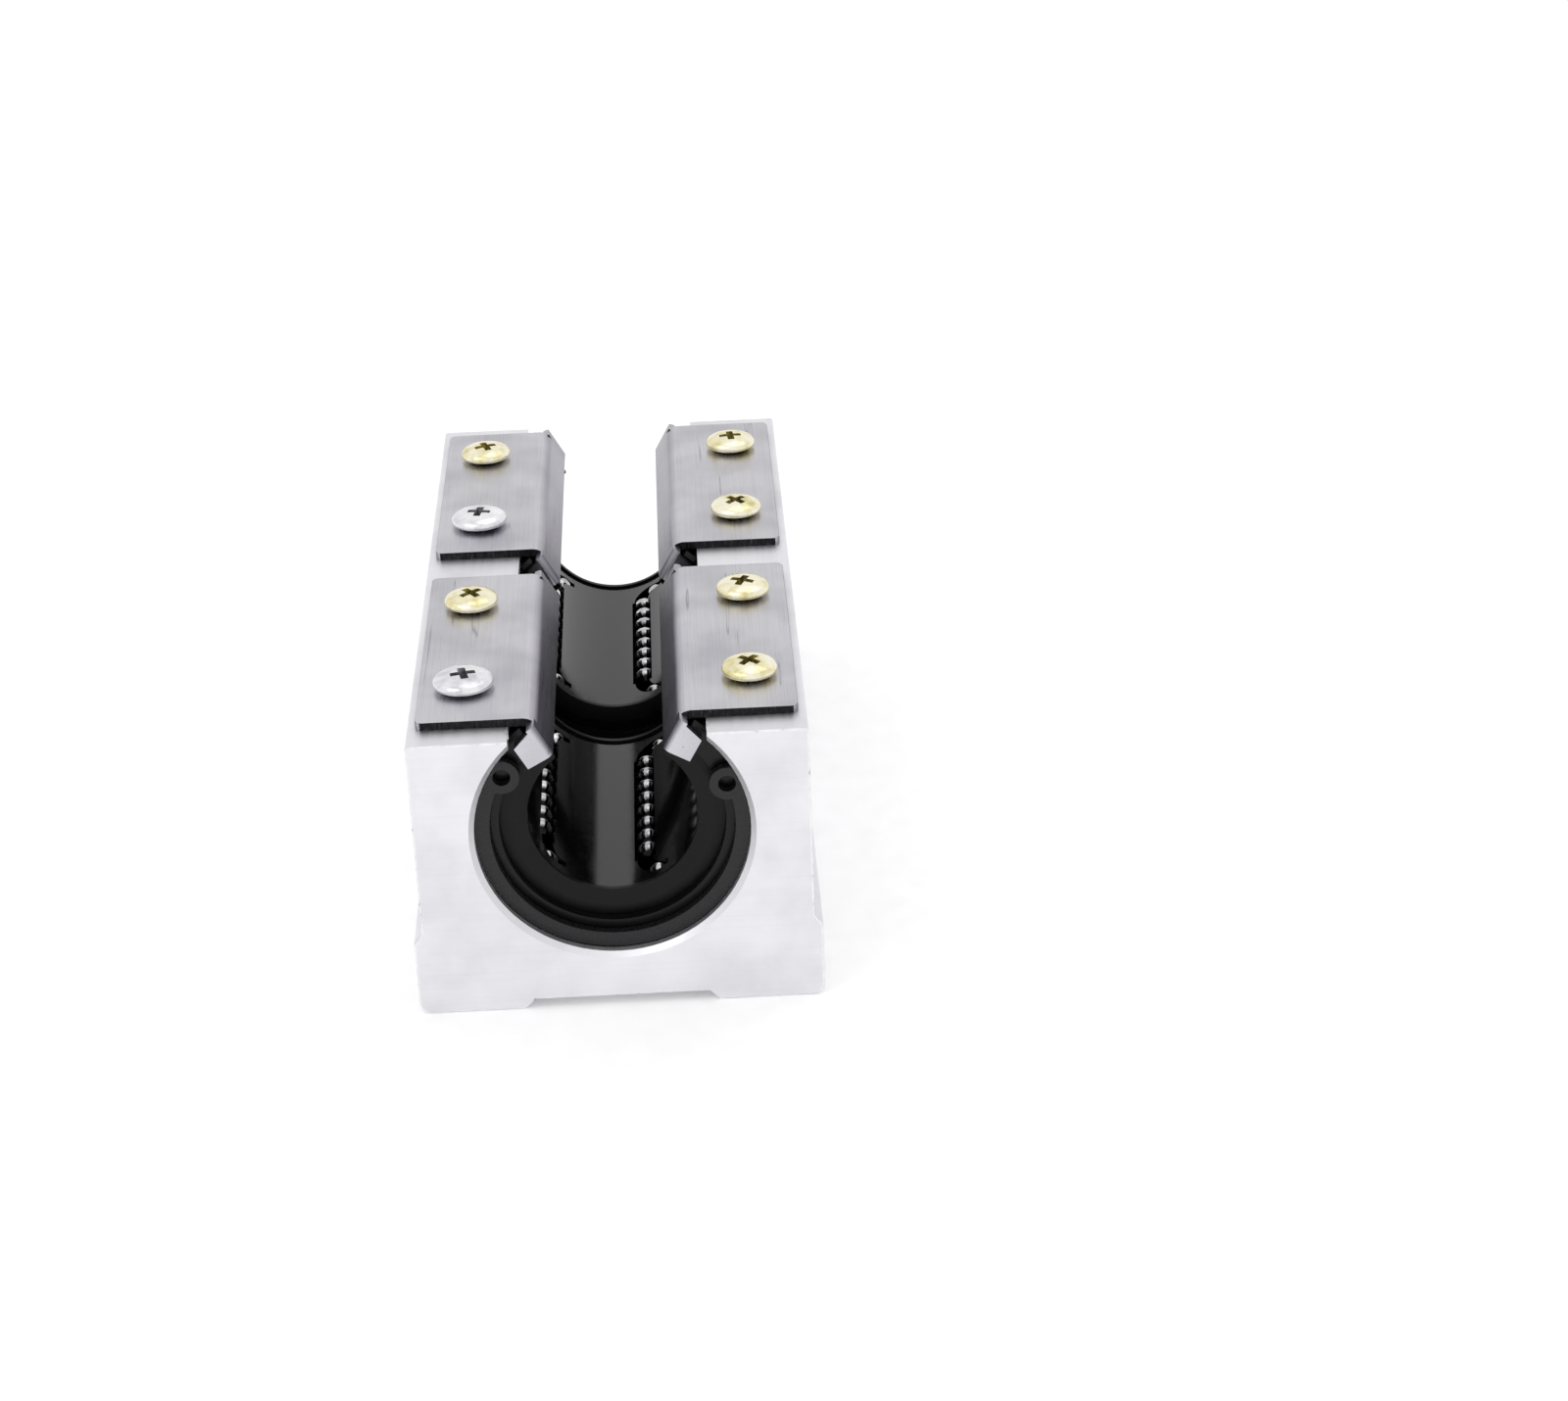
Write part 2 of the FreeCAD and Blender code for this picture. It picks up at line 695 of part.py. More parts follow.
def make_rings():
    """Internal retaining rings with an eyelet at each end of the open arc."""
    outer = bore_radius + cell("ring_groove_depth") - cell("ring_radial_gap")
    inner = outer - cell("ring_width")
    thickness = cell("ring_thickness")
    half_open = cell("ring_open_angle") / 2
    eyelet_centre = bore_radius - cell("eyelet_inset")
    rings = []
    for end, sign in end_y.items():
        name = end + "_retaining_ring"
        disc = sector(name + "_disc", outer, thickness,
                      half_open - 180, as_size(180) - half_open)
        solids = [disc]
        holes = [primitive("Cylinder", name + "_middle", Radius=inner, Height=thickness)]
        place(holes[0], 0, -(thickness / 2), 0, LAID)
        for side_name, side in SIDES.items():
            x, z = radial((as_size(180) - half_open) * side, eyelet_centre)
            tag = "%s_%s" % (name, side_name)
            eyelet = primitive("Cylinder", tag + "_eyelet", Radius=cell("eyelet_radius"),
                               Height=thickness)
            hole = primitive("Cylinder", tag + "_eye", Radius=cell("eyelet_hole_radius"),
                             Height=thickness)
            for solid in (eyelet, hole):
                place(solid, x, -(thickness / 2), z, LAID)
            solids.append(eyelet)
            holes.append(hole)
        arc = cut_from(name + "_arc", disc, holes[0])
        solids[0] = arc
        ring = cut_from(name, joined(name + "_whole", solids), joined(name + "_eyes", holes[1:]))
        ring_y = (half_length - cell("ring_inset") - cell("ring_groove_width") / 2) * sign
        place(ring, 0, ring_y, shaft_z, about_shaft(-cell(end + "_ring_turn").value))
        rings.append(ring)
    return rings


# ---------------------------------------------------------------- retaining plates

def plate_section(side):
    """The plate's cross-section with sharp bends: its flank leans from slot to bushing."""
    tip_radius = cell("shaft_radius") + cell("plate_tip_lift")
    tip_angle = cell("open_angle") / 2 - cell("plate_tip_inset")
    tip_x, tip_z = tip_radius * sin(tip_angle), shaft_z + tip_radius * cos(tip_angle)
    upper_z = top_z + cell("sheet")
    edge_x = half_body - cell("plate_edge_inset")
    bend_x = cell("slot_width") / 2 - cell("plate_slot_gap")
    lean = slope(bend_x - tip_x, upper_z - tip_z)
    under_tip = (tip_x + cell("sheet") * cos(lean), tip_z - cell("sheet") * sin(lean))
    under_x = under_tip[0] + (top_z - under_tip[1]) * sin(lean) / cos(lean)
    corners = [(edge_x, upper_z), (bend_x, upper_z), (tip_x, tip_z), under_tip,
               (under_x, top_z), (edge_x, top_z)]
    return [(x * side, z) for x, z in corners], lean


def make_plate(bushing, side_name):
    side = SIDES[side_name]
    body = new_body("%s_%s_plate" % (bushing, side_name))
    corners, lean = plate_section(side)
    edge, bend, tip, under_bend = corners[0], corners[1], corners[2], corners[4]
    section = new_sketch(body, "XZ_Plane", "section")
    draw_polygon(section, corners)
    sheet_pad = extrude(body, section, "Pad", cell("plate_length"))
    outer_bend = soften(body, sheet_pad, "Fillet", cell("plate_bend_radius") + cell("sheet"),
                        lambda edge_: runs_through(edge_, x=bend[0], z=bend[1]))
    inner_bend = soften(body, outer_bend, "Fillet", cell("plate_bend_radius"),
                        lambda edge_: runs_through(edge_, x=under_bend[0], z=under_bend[1]))
    soften(body, inner_bend, "Fillet", cell("plate_corner_round"),
           lambda edge_: runs_through(edge_, x=edge[0]) and not along_y(edge_))

    # ears: an arm carries the flank past the sheet's end, and the ear turns out from it
    root, reach, thick = cell("ear_root"), cell("ear_reach"), cell("sheet")

    def flank_point(up, out):
        """A point up the flank from its tip, and out from the flank's slot side."""
        up, out = as_size(up), as_size(out)
        x = tip[0] + (up * sin(lean) + out * cos(lean)) * side
        return x, tip[1] + up * cos(lean) - out * sin(lean)

    ear_y = half_bushing + cell("ear_gap") + thick / 2
    arm_start = cell("plate_length") / 2 - cell("ear_notch")
    arm_end = ear_y + thick / 2
    for end, sign in end_y.items():
        arm = new_sketch(body, "XZ_Plane", end + "_arm", (arm_start + arm_end) / 2 * -sign)
        draw_polygon(arm, [flank_point(0, 0), flank_point(root, 0),
                           flank_point(root, thick), flank_point(0, thick)])
        extrude(body, arm, "Pad", arm_end - arm_start)
        ear = new_sketch(body, "XZ_Plane", end + "_ear", ear_y * -sign)
        draw_polygon(ear, [flank_point(0, 0), flank_point(root, 0),
                           flank_point(cell("ear_tip"), reach), flank_point(0, reach)])
        eared = extrude(body, ear, "Pad", thick)

    ends = [FreeCAD.Vector(flank_point(up, 0)[0].value, 0, flank_point(up, 0)[1].value)
            for up in (0, root)]

    def on_the_bend(edge_):
        """True for the sharp outer edge where an arm turns into its ear."""
        tops = [vertex.Point for vertex in edge_.Vertexes]
        flat = [FreeCAD.Vector(point.x, 0, point.z) for point in tops]
        return all(abs(abs(point.y) - arm_end.value) < 1e-6 for point in tops) and all(
            min(point.distanceToPoint(wanted) for point in flat) < 1e-6 for wanted in ends)

    soften(body, eared, "Fillet", cell("ear_bend_round"), on_the_bend)

    holes = new_sketch(body, "XY_Plane", "holes", top_z + cell("sheet") / 2)
    hole_x = (half_body - cell("screw_edge")) * side
    for step in (-1, 1):
        draw_circle(holes, hole_x, cell("screw_spacing") / 2 * step,
                    cell("screw_radius") + cell("screw_hole_fit"))
    extrude(body, holes, "Pocket", cell("sheet") + PAST * 2)
    place(body, 0, bushing_y[bushing], 0)
    return body


def make_plates():
    return [make_plate(bushing, side_name) for bushing in BUSHINGS for side_name in SIDES]


# ---------------------------------------------------------------- plate screws

def make_screw(label, head, x, y):
    """A pan-head screw with a cross recess; its own z = 0 is under the head."""
    body = new_body(label)
    shank = cell("screw_radius")
    section = new_sketch(body, "XZ_Plane", "section")
    draw_polygon(section, [(0, -cell("screw_length")), (shank, -cell("screw_length")),
                           (shank, 0), (head, 0), (head, cell("screw_head_height")),
                           (0, cell("screw_head_height"))])
    turned = body.newObject("PartDesign::Revolution", label + "_turned")
    turned.Profile = section
    turned.ReferenceAxis = (section, ["V_Axis"])
    turned.Angle = 360
    doc.recompute()
    soften(body, turned, "Fillet", cell("screw_head_round"),
           lambda edge: hasattr(edge.Curve, "Radius")
           and runs_through(edge, z=cell("screw_head_height")))
    cross = new_sketch(body, "XY_Plane", "cross", cell("screw_head_height"))
    long_half, wide_half = cell("cross_length") / 2, cell("cross_width") / 2
    draw_polygon(cross, [
        (long_half, -wide_half), (long_half, wide_half), (wide_half, wide_half),
        (wide_half, long_half), (-wide_half, long_half), (-wide_half, wide_half),
        (-long_half, wide_half), (-long_half, -wide_half), (-wide_half, -wide_half),
        (-wide_half, -long_half), (wide_half, -long_half), (wide_half, -wide_half)])
    extrude(body, cross, "Pocket", cell("cross_depth"), both_ways=False)
    place(body, x, y, top_z + cell("sheet"))
    return body


def make_screws():
    """Six yellow screws, and a larger silver one at the front of each left-hand plate."""
    places = iter(screw_places())
    screws = []
    for bushing in BUSHINGS:
        for side_name in SIDES:
            for number in (1, 2):
                finish = "silver" if (side_name, number) == ("left", 1) else "yellow"
                screws.append(make_screw("%s_%s_screw_%d" % (bushing, side_name, number),
                                         cell(finish + "_head_radius"), *next(places)))
    return screws


# ---------------------------------------------------------------- build, check and write

nodes = [make_housing()]
nodes += make_sleeves()
nodes += make_cages()
nodes += make_seals()
nodes += make_balls()
nodes += make_rings()
nodes += make_plates()
nodes += make_screws()
doc.recompute()

for thing in doc.Objects:
    if "Invalid" in thing.State or "Error" in thing.State:
        raise RuntimeError("%s failed: %s" % (thing.Name, thing.State))
for node in nodes:
    if node.Shape.isNull() or not node.Shape.isValid():
        raise RuntimeError("%s has no valid shape" % node.Label)

os.makedirs("parts", exist_ok=True)
for node in nodes:
    node.Shape.exportStep("parts/%s.step" % node.Label)
    print("%-28s %3d solids %10.2f mm3" % (node.Label, len(node.Shape.Solids), node.Shape.Volume))
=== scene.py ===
import math

import bpy
from mathutils import Matrix, Vector


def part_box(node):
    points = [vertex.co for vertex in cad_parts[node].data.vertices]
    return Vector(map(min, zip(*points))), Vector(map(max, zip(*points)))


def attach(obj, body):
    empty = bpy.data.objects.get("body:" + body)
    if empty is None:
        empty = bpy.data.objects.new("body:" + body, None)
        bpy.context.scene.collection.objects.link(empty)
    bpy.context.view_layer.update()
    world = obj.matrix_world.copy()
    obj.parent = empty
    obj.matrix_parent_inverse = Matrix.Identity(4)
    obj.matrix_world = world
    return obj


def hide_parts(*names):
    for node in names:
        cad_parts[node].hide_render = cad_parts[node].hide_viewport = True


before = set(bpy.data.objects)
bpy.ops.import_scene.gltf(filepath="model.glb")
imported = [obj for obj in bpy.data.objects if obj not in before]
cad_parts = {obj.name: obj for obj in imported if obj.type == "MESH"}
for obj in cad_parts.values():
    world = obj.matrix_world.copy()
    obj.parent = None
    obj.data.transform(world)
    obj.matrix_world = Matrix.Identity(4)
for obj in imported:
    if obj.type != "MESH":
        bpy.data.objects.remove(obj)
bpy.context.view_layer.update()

# Long open linear-bearing block for a 20 mm supported shaft: metres, X across, Y along the
# shaft, Z up from the mounting face. The CAD frame gives every place; this script gives the
# looks: eased edges, real screws, and the finish of each metal, resin and rubber.

MM = 0.001
BUSHINGS = ("front", "rear")
SIDES = ("left", "right")
ROWS = (1, 2, 3, 4)
SHAFT_Z = 23 * MM


# ---------------------------------------------------------------- camera

# long lens on a 36 mm wide sensor, looking down along the slot, held a little off level
LENS = 72.72
LOOK_DOWN = math.radians(26.71)
YAW = math.radians(1.79)
ROLL = math.radians(-1.95)
# the mounting face's middle, seen from the camera: across, down and away
BLOCK_FROM_CAMERA = Vector((-21.26, 14.47, 418.24)) * MM


def make_camera():
    level = Matrix(((1, 0, 0), (0, 0, -1), (0, 1, 0)))
    turn = (Matrix.Rotation(ROLL, 3, "Z") @ Matrix.Rotation(LOOK_DOWN, 3, "X")
            @ level @ Matrix.Rotation(YAW, 3, "Z"))
    flip = Matrix.Diagonal((1, -1, -1))
    data = bpy.data.cameras.new("camera")
    data.sensor_width, data.lens = 36, LENS
    data.clip_start, data.clip_end = 0.01, 20
    camera = bpy.data.objects.new("camera", data)
    bpy.context.scene.collection.objects.link(camera)
    place = -(turn.transposed() @ BLOCK_FROM_CAMERA)
    camera.matrix_world = Matrix.Translation(place) @ (turn.transposed() @ flip).to_4x4()
    bpy.context.scene.camera = camera


# ---------------------------------------------------------------- shader nodes

def linear(code):
    """An sRGB hex colour as linear red, green, blue and alpha."""
    parts = [int(code[n:n + 2], 16) / 255 for n in (1, 3, 5)]
    return tuple(c / 12.92 if c <= 0.04045 else ((c + 0.055) / 1.055) ** 2.4
                 for c in parts) + (1.0,)


def per(size):
    """How many repeats of a pattern of this many millimetres go into a metre."""
    return 1000 / size


def add(tree, kind, links=None, stops=None, **settings):
    """Adds a node: its settings, its ramp's stops, and each input's value or link."""
    node = tree.nodes.new(kind)
    for name, value in settings.items():
        setattr(node, name, value)
    if stops:
        points = node.color_ramp.elements
        while len(points) < len(stops):
            points.new(0.5)
        for point, (position, colour) in zip(points, stops):
            point.position, point.color = position, linear(colour)
    for name, value in (links or {}).items():
        if isinstance(value, bpy.types.NodeSocket):
            tree.links.new(value, node.inputs[name])
        else:
            node.inputs[name].default_value = value
    return node


def new_material(name, **sockets):
    """A material with a Principled shader; the sockets given are the same all over."""
    material = bpy.data.materials.new(name)
    material.use_nodes = True
    tree = material.node_tree
    shader = tree.nodes["Principled BSDF"]
    for socket, value in sockets.items():
        shader.inputs[socket.replace("_", " ")].default_value = value
    place = add(tree, "ShaderNodeTexCoord").outputs["Object"]
    return material, tree, shader, place


# ---------------------------------------------------------------- materials

def extruded_aluminium():
    """Clear-anodised extruded aluminium: near white, die lines along its length, sawn ends."""
    material, tree, shader, place = new_material("clear_anodised_extruded_aluminium", Metallic=1.0)
    facing = add(tree, "ShaderNodeSeparateXYZ",
                 {"Vector": add(tree, "ShaderNodeNewGeometry").outputs["Normal"]})
    ends = add(tree, "ShaderNodeMath", {0: add(tree, "ShaderNodeMath", {
        0: facing.outputs["Y"]}, operation="ABSOLUTE").outputs[0], 1: 0.85},
        operation="GREATER_THAN").outputs[0]
    # die lines: ridges of a third of a millimetre that run the block's whole length
    die = add(tree, "ShaderNodeTexNoise", {
        "Vector": add(tree, "ShaderNodeMapping", {
            "Vector": place, "Scale": (per(0.35), per(70), per(0.35))}).outputs[0],
        "Scale": 1.0, "Detail": 3.0}).outputs["Fac"]
    # saw marks: shallow, slightly slanting strokes across the ends
    sawn = add(tree, "ShaderNodeTexNoise", {
        "Vector": add(tree, "ShaderNodeMapping", {
            "Vector": place, "Rotation": (0, math.radians(4), 0),
            "Scale": (per(25), per(25), per(0.5))}).outputs[0],
        "Scale": 1.0, "Detail": 4.0}).outputs["Fac"]
    lines = add(tree, "ShaderNodeMix", {"Factor": ends, 2: die, 3: sawn}, data_type="FLOAT")
    # handling marks: faint clouds a centimetre or two wide
    clouds = add(tree, "ShaderNodeTexNoise", {
        "Vector": place, "Scale": per(14), "Detail": 4.0, "Roughness": 0.6}).outputs["Fac"]
    tone = add(tree, "ShaderNodeValToRGB", {"Fac": clouds}, stops=(
        (0.32, "#DCDBDF"), (0.5, "#E6E5E9"), (0.7, "#EDECF0")))
    streak = add(tree, "ShaderNodeValToRGB", {"Fac": lines.outputs[0]}, stops=(
        (0.3, "#DADADD"), (0.55, "#FFFFFF")))
    colour = add(tree, "ShaderNodeMix", {"Factor": 0.1, 6: tone.outputs[0],
                                         7: streak.outputs[0]},
                 data_type="RGBA", blend_type="MULTIPLY")
    tree.links.new(colour.outputs[2], shader.inputs["Base Color"])
    rough = add(tree, "ShaderNodeMapRange", {
        "Value": lines.outputs[0], "From Min": 0.3, "From Max": 0.7,
        "To Min": 0.4, "To Max": 0.48})
    tree.links.new(rough.outputs[0], shader.inputs["Roughness"])
    bump = add(tree, "ShaderNodeBump", {
        "Height": lines.outputs[0], "Strength": 0.08, "Distance": 0.02 * MM})
    tree.links.new(bump.outputs[0], shader.inputs["Normal"])
    return material


def broken_edge():
    """The deburred corners of the block: bright metal with small dark nicks."""
    material, tree, shader, place = new_material("deburred_aluminium_edge", Metallic=1.0,
                                                 Roughness=0.42)
    nicks = add(tree, "ShaderNodeTexNoise", {
        "Vector": place, "Scale": per(1.6), "Detail": 3.0, "Roughness": 0.7}).outputs["Fac"]
    tone = add(tree, "ShaderNodeValToRGB", {"Fac": nicks}, stops=(
        (0.24, "#545458"), (0.31, "#B4B4B8"), (0.38, "#E4E4E7"), (0.7, "#F4F4F6")))
    tree.links.new(tone.outputs[0], shader.inputs["Base Color"])
    bump = add(tree, "ShaderNodeBump", {
        "Height": nicks, "Strength": 0.5, "Distance": 0.06 * MM})
    tree.links.new(bump.outputs[0], shader.inputs["Normal"])
    return material


def brushed_stainless():
    """Belt-brushed stainless sheet: grey, fine lines along the plate, a few long scratches."""
    material, tree, shader, place = new_material("belt_brushed_stainless_sheet", Metallic=1.0)
    brush = add(tree, "ShaderNodeTexNoise", {
        "Vector": add(tree, "ShaderNodeMapping", {
            "Vector": place, "Scale": (per(0.14), per(14), per(0.14))}).outputs[0],
        "Scale": 1.0, "Detail": 4.0, "Roughness": 0.6}).outputs["Fac"]
    clouds = add(tree, "ShaderNodeTexNoise", {
        "Vector": place, "Scale": per(9), "Detail": 2.0}).outputs["Fac"]
    tone = add(tree, "ShaderNodeValToRGB", {"Fac": brush}, stops=(
        (0.3, "#C0BFC4"), (0.5, "#C8C7CC"), (0.72, "#CFCED3")))
    scratch = add(tree, "ShaderNodeTexNoise", {
        "Vector": add(tree, "ShaderNodeMapping", {
            "Vector": place, "Scale": (per(1.1), per(30), per(1.1))}).outputs[0],
        "Scale": 1.0, "Detail": 1.0}).outputs["Fac"]
    marks = add(tree, "ShaderNodeValToRGB", {"Fac": scratch}, stops=(
        (0.0, "#FFFFFF"), (0.70, "#FFFFFF"), (0.715, "#8E8E92"), (0.73, "#FFFFFF")))
    shade = add(tree, "ShaderNodeValToRGB", {"Fac": clouds}, stops=(
        (0.3, "#E6E6E8"), (0.6, "#FFFFFF")))
    colour = add(tree, "ShaderNodeMix", {"Factor": 1.0, 6: tone.outputs[0], 7: shade.outputs[0]},
                 data_type="RGBA", blend_type="MULTIPLY")
    colour = add(tree, "ShaderNodeMix", {"Factor": 0.6, 6: colour.outputs[2],
                                         7: marks.outputs[0]},
                 data_type="RGBA", blend_type="MULTIPLY")
    # painted shade: the bent flanks, which face across, are painted darker than the brushed flat
    # tops
    facing = add(tree, "ShaderNodeSeparateXYZ",
                 {"Vector": add(tree, "ShaderNodeNewGeometry").outputs["Normal"]})
    flank_shade = add(tree, "ShaderNodeValToRGB", {"Fac": add(tree, "ShaderNodeMath", {
        0: facing.outputs["X"]}, operation="ABSOLUTE").outputs[0]}, stops=(
        (0.3, "#FFFFFF"), (0.75, "#BDBBC1")))
    colour = add(tree, "ShaderNodeMix", {"Factor": 1.0, 6: colour.outputs[2],
                                         7: flank_shade.outputs[0]},
                 data_type="RGBA", blend_type="MULTIPLY")
    tree.links.new(colour.outputs[2], shader.inputs["Base Color"])
    rough = add(tree, "ShaderNodeMapRange", {
        "Value": brush, "From Min": 0.3, "From Max": 0.7, "To Min": 0.26, "To Max": 0.36})
    tree.links.new(rough.outputs[0], shader.inputs["Roughness"])
    bump = add(tree, "ShaderNodeBump", {"Height": brush, "Strength": 0.1, "Distance": 0.01 * MM})
    tree.links.new(bump.outputs[0], shader.inputs["Normal"])
    return material


def shaded_sheared_edge():
    """The sheet's cut thickness: sheared metal with fine upright shear lines, near black partly as
    painted shadow of the gap under the sheet.
    """
    material, tree, shader, place = new_material("shaded_sheared_stainless_edge", Metallic=1.0)
    tears = add(tree, "ShaderNodeTexNoise", {
        "Vector": add(tree, "ShaderNodeMapping", {
            "Vector": place, "Scale": (per(0.25), per(0.25), per(1.2))}).outputs[0],
        "Scale": 1.0, "Detail": 3.0}).outputs["Fac"]
    # painted shadow: the near-black tone also stands in for the shade of the gap under the sheet
    tone = add(tree, "ShaderNodeValToRGB", {"Fac": tears}, stops=(
        (0.3, "#1A191B"), (0.6, "#343336"), (0.75, "#5A595C")))
    tree.links.new(tone.outputs[0], shader.inputs["Base Color"])
    rough = add(tree, "ShaderNodeMapRange", {"Value": tears, "To Min": 0.45, "To Max": 0.65})
    tree.links.new(rough.outputs[0], shader.inputs["Roughness"])
    bump = add(tree, "ShaderNodeBump", {"Height": tears, "Strength": 0.5, "Distance": 0.03 * MM})
    tree.links.new(bump.outputs[0], shader.inputs["Normal"])
    return material


def plated_screw(name, stops):
    """Cold-headed, zinc-plated steel: satin, with blotches of the passivated film."""
    material, tree, shader, place = new_material(name, Metallic=1.0)
    film = add(tree, "ShaderNodeTexNoise", {
        "Vector": place, "Scale": per(2.2), "Detail": 3.0, "Roughness": 0.6}).outputs["Fac"]
    tone = add(tree, "ShaderNodeValToRGB", {"Fac": film}, stops=stops)
    tree.links.new(tone.outputs[0], shader.inputs["Base Color"])
    grain = add(tree, "ShaderNodeTexNoise", {
        "Vector": place, "Scale": per(0.3), "Detail": 2.0}).outputs["Fac"]
    rough = add(tree, "ShaderNodeMapRange", {
        "Value": grain, "From Min": 0.3, "From Max": 0.7, "To Min": 0.2, "To Max": 0.34})
    tree.links.new(rough.outputs[0], shader.inputs["Roughness"])
    bump = add(tree, "ShaderNodeBump", {"Height": grain, "Strength": 0.3, "Distance": 0.02 * MM})
    tree.links.new(bump.outputs[0], shader.inputs["Normal"])
    return material


def oily_shaded_recess(name, stops):
    """A screw's driver recess: its plating darkened by oil that the driver left and by painted
    shade in the hollow.
    """
    material, tree, shader, place = new_material(name, Metallic=0.7)
    dirt = add(tree, "ShaderNodeTexNoise", {
        "Vector": place, "Scale": per(0.9), "Detail": 3.0, "Roughness": 0.6}).outputs["Fac"]
    tone = add(tree, "ShaderNodeValToRGB", {"Fac": dirt}, stops=stops)
    tree.links.new(tone.outputs[0], shader.inputs["Base Color"])
    rough = add(tree, "ShaderNodeMapRange", {"Value": dirt, "To Min": 0.35, "To Max": 0.6})
    tree.links.new(rough.outputs[0], shader.inputs["Roughness"])
    return material


def moulded_resin():
    """Injection-moulded black acetal: deep black with a wet gloss and faint flow marks."""
    material, tree, shader, place = new_material("injection_moulded_black_acetal",
                                                 Specular_IOR_Level=0.42)
    flow = add(tree, "ShaderNodeTexNoise", {
        "Vector": add(tree, "ShaderNodeMapping", {
            "Vector": place, "Scale": (per(3), per(16), per(3))}).outputs[0],
        "Scale": 1.0, "Detail": 3.0}).outputs["Fac"]
    tone = add(tree, "ShaderNodeValToRGB", {"Fac": flow}, stops=(
        (0.3, "#050506"), (0.7, "#0E0D10")))
    tree.links.new(tone.outputs[0], shader.inputs["Base Color"])
    dust = add(tree, "ShaderNodeTexNoise", {
        "Vector": place, "Scale": per(0.5), "Detail": 2.0}).outputs["Fac"]
    rough = add(tree, "ShaderNodeMapRange", {
        "Value": dust, "From Min": 0.3, "From Max": 0.75, "To Min": 0.1, "To Max": 0.2})
    tree.links.new(rough.outputs[0], shader.inputs["Roughness"])
    bump = add(tree, "ShaderNodeBump", {"Height": dust, "Strength": 0.15, "Distance": 0.01 * MM})
    tree.links.new(bump.outputs[0], shader.inputs["Normal"])
    return material


def nitrile_rubber():
    """Moulded black nitrile rubber: soft sheen with a fine bloom of grease and dust."""
    material, tree, shader, place = new_material("moulded_black_nitrile_rubber",
                                                 Specular_IOR_Level=0.2)
    bloom = add(tree, "ShaderNodeTexNoise", {
        "Vector": place, "Scale": per(2.5), "Detail": 5.0, "Roughness": 0.65}).outputs["Fac"]
    tone = add(tree, "ShaderNodeValToRGB", {"Fac": bloom}, stops=(
        (0.35, "#040405"), (0.7, "#0D0C0E")))
    tree.links.new(tone.outputs[0], shader.inputs["Base Color"])
    rough = add(tree, "ShaderNodeMapRange", {
        "Value": bloom, "From Min": 0.3, "From Max": 0.7, "To Min": 0.3, "To Max": 0.45})
    tree.links.new(rough.outputs[0], shader.inputs["Roughness"])
    grain = add(tree, "ShaderNodeTexNoise", {
        "Vector": place, "Scale": per(0.2), "Detail": 2.0}).outputs["Fac"]
    bump = add(tree, "ShaderNodeBump", {"Height": grain, "Strength": 0.25, "Distance": 0.02 * MM})
    tree.links.new(bump.outputs[0], shader.inputs["Normal"])
    return material


def phosphated_spring_steel():
    """Stamped spring steel, phosphated and oiled: black with a dull oily shine and fine grain."""
    material, tree, shader, place = new_material("oiled_phosphated_spring_steel",
                                                 Specular_IOR_Level=0.4)
    crystals = add(tree, "ShaderNodeTexNoise", {
        "Vector": place, "Scale": per(0.25), "Detail": 3.0, "Roughness": 0.6}).outputs["Fac"]
    tone = add(tree, "ShaderNodeValToRGB", {"Fac": crystals}, stops=(
        (0.3, "#09090B"), (0.6, "#131215"), (0.8, "#2A292C")))
    tree.links.new(tone.outputs[0], shader.inputs["Base Color"])
    rough = add(tree, "ShaderNodeMapRange", {
        "Value": crystals, "From Min": 0.3, "From Max": 0.7, "To Min": 0.22, "To Max": 0.38})
    tree.links.new(rough.outputs[0], shader.inputs["Roughness"])
    bump = add(tree, "ShaderNodeBump", {
        "Height": crystals, "Strength": 0.3, "Distance": 0.02 * MM})
    tree.links.new(bump.outputs[0], shader.inputs["Normal"])
    return material


def shade_black_steel():
    """Hardened bearing steel, ground, with fine lines round the axis; its near-black tone is
    painted shade for the deep groove between ring and seal.
    """
    material, tree, shader, place = new_material("ground_bearing_steel_painted_shade_black",
                                                 Specular_IOR_Level=0.25)
    lines = add(tree, "ShaderNodeTexNoise", {
        "Vector": add(tree, "ShaderNodeMapping", {
            "Vector": place, "Scale": (per(12), per(0.2), per(12))}).outputs[0],
        "Scale": 1.0, "Detail": 3.0}).outputs["Fac"]
    # painted shade: the near-black tone stands in for the shade of the groove between ring and
    # seal
    tone = add(tree, "ShaderNodeValToRGB", {"Fac": lines}, stops=(
        (0.3, "#060607"), (0.7, "#0E0D0F")))
    tree.links.new(tone.outputs[0], shader.inputs["Base Color"])
    rough = add(tree, "ShaderNodeMapRange", {
        "Value": lines, "From Min": 0.3, "From Max": 0.7, "To Min": 0.2, "To Max": 0.34})
    tree.links.new(rough.outputs[0], shader.inputs["Roughness"])
    bump = add(tree, "ShaderNodeBump", {"Height": lines, "Strength": 0.25, "Distance": 0.01 * MM})
    tree.links.new(bump.outputs[0], shader.inputs["Normal"])
    return material


